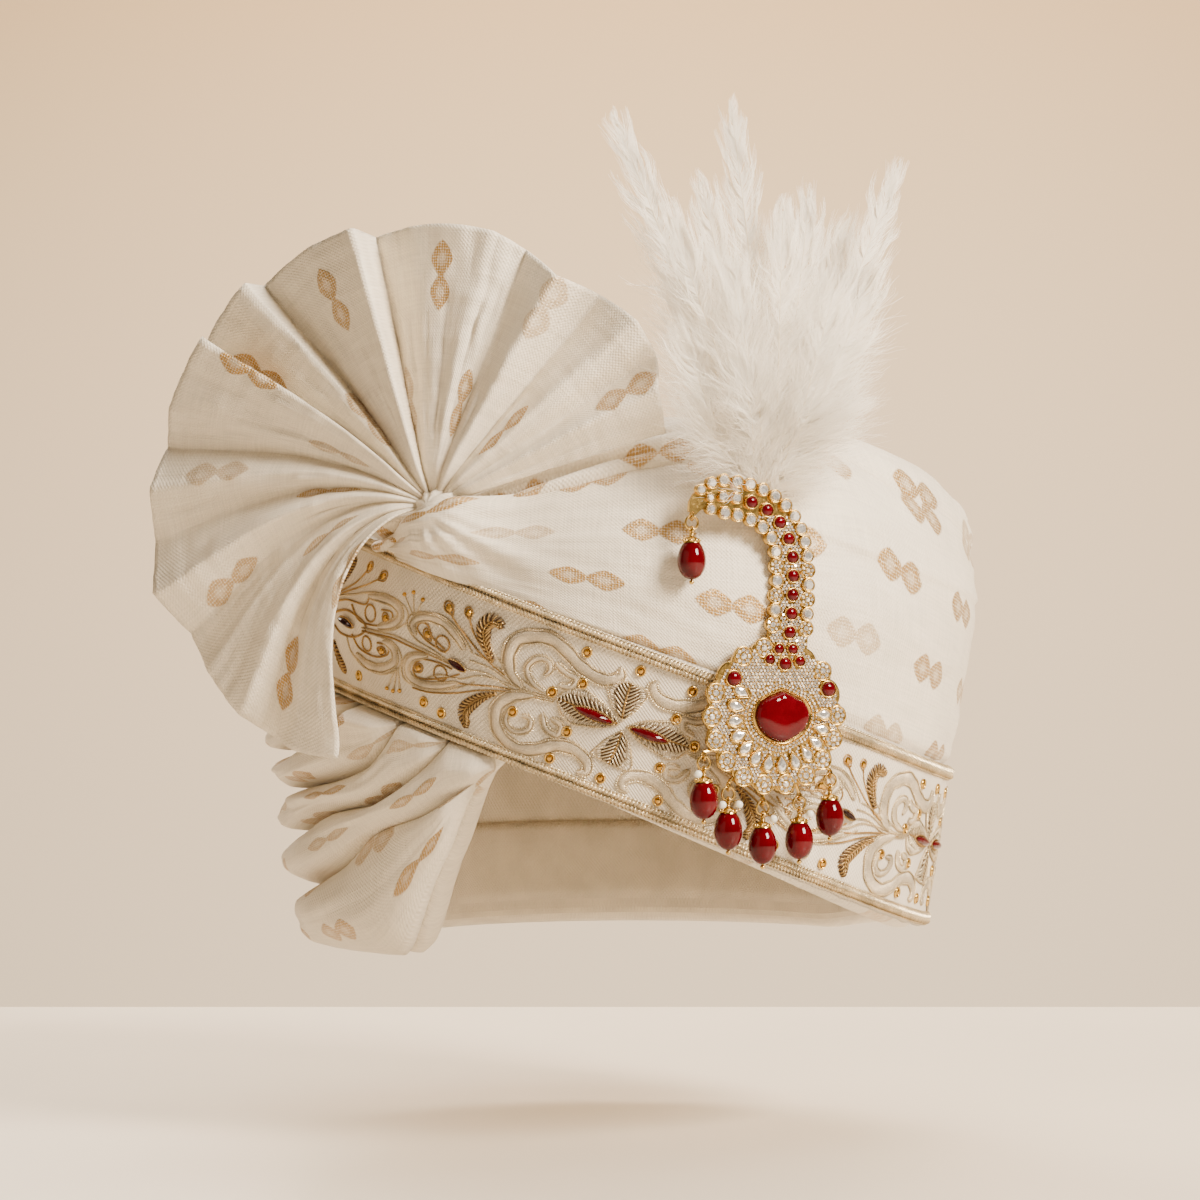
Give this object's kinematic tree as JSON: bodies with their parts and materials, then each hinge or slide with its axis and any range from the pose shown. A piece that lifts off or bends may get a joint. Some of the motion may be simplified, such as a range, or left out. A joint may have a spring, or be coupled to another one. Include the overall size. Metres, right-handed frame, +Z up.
{
  "type": "tied turban pagri",
  "caption": "Tied ivory turban with a slanting embroidered band, wound back folds, a pleated side fan and a plume brooch with hanging drops; hollow and open below.",
  "frame": {"origin": "where the turban sits on the head: the middle of the head opening, 34 mm above the lowest back fold", "axes": "+Z up along the wearer's head, -Y to the wearer's front, +X to the wearer's left"},
  "size_m": [0.2972, 0.2837, 0.2973],
  "materials": {
    "ivory_silk": "slubbed ivory silk and cotton cloth with woven gold thread motifs",
    "band_silk": "ivory silk ground under gold and silver cord embroidery",
    "zari_cord": "twisted metallic thread cord",
    "gold": "polished gold plate with clear cut stones",
    "ruby_glass": "polished deep red glass stones",
    "feather": "soft white feathers"
  },
  "bodies": {
    "root": {"crown": "ivory_silk", "front_wrap_lower": "ivory_silk", "front_wrap_upper": "ivory_silk", "top_wrap": "ivory_silk", "back_wrap_upper": "ivory_silk", "back_wrap_lower": "ivory_silk", "embroidered_band": "band_silk", "cord_upper": "zari_cord", "cord_lower": "zari_cord", "back_fold_1": "ivory_silk", "back_fold_2": "ivory_silk", "back_fold_3": "ivory_silk", "back_fold_4": "ivory_silk", "back_fold_5": "ivory_silk", "pleated_fan": "ivory_silk", "fan_knot": "ivory_silk", "brooch_setting": "gold", "centre_stone": "ruby_glass", "stem_ruby_1": "ruby_glass", "stem_ruby_2": "ruby_glass", "stem_ruby_3": "ruby_glass", "stem_ruby_4": "ruby_glass", "stem_ruby_5": "ruby_glass", "stem_ruby_6": "ruby_glass", "stem_ruby_7": "ruby_glass", "stem_ruby_8": "ruby_glass", "stem_ruby_9": "ruby_glass", "cluster_ruby_1": "ruby_glass", "cluster_ruby_2": "ruby_glass", "cluster_ruby_3": "ruby_glass", "cluster_ruby_4": "ruby_glass", "cluster_ruby_5": "ruby_glass", "side_ruby_1": "ruby_glass", "side_ruby_2": "ruby_glass", "drop_ring_1": "gold", "drop_ring_2": "gold", "drop_ring_3": "gold", "drop_ring_4": "gold", "drop_ring_5": "gold", "drop_ring_6": "gold", "drop_pin_1": "gold", "drop_pin_2": "gold", "drop_pin_3": "gold", "drop_pin_4": "gold", "drop_pin_5": "gold", "drop_pin_6": "gold", "drop_bead_1": "ruby_glass", "drop_bead_2": "ruby_glass", "drop_bead_3": "ruby_glass", "drop_bead_4": "ruby_glass", "drop_bead_5": "ruby_glass", "drop_bead_6": "ruby_glass", "plume": "feather"}
  },
  "joints": []
}
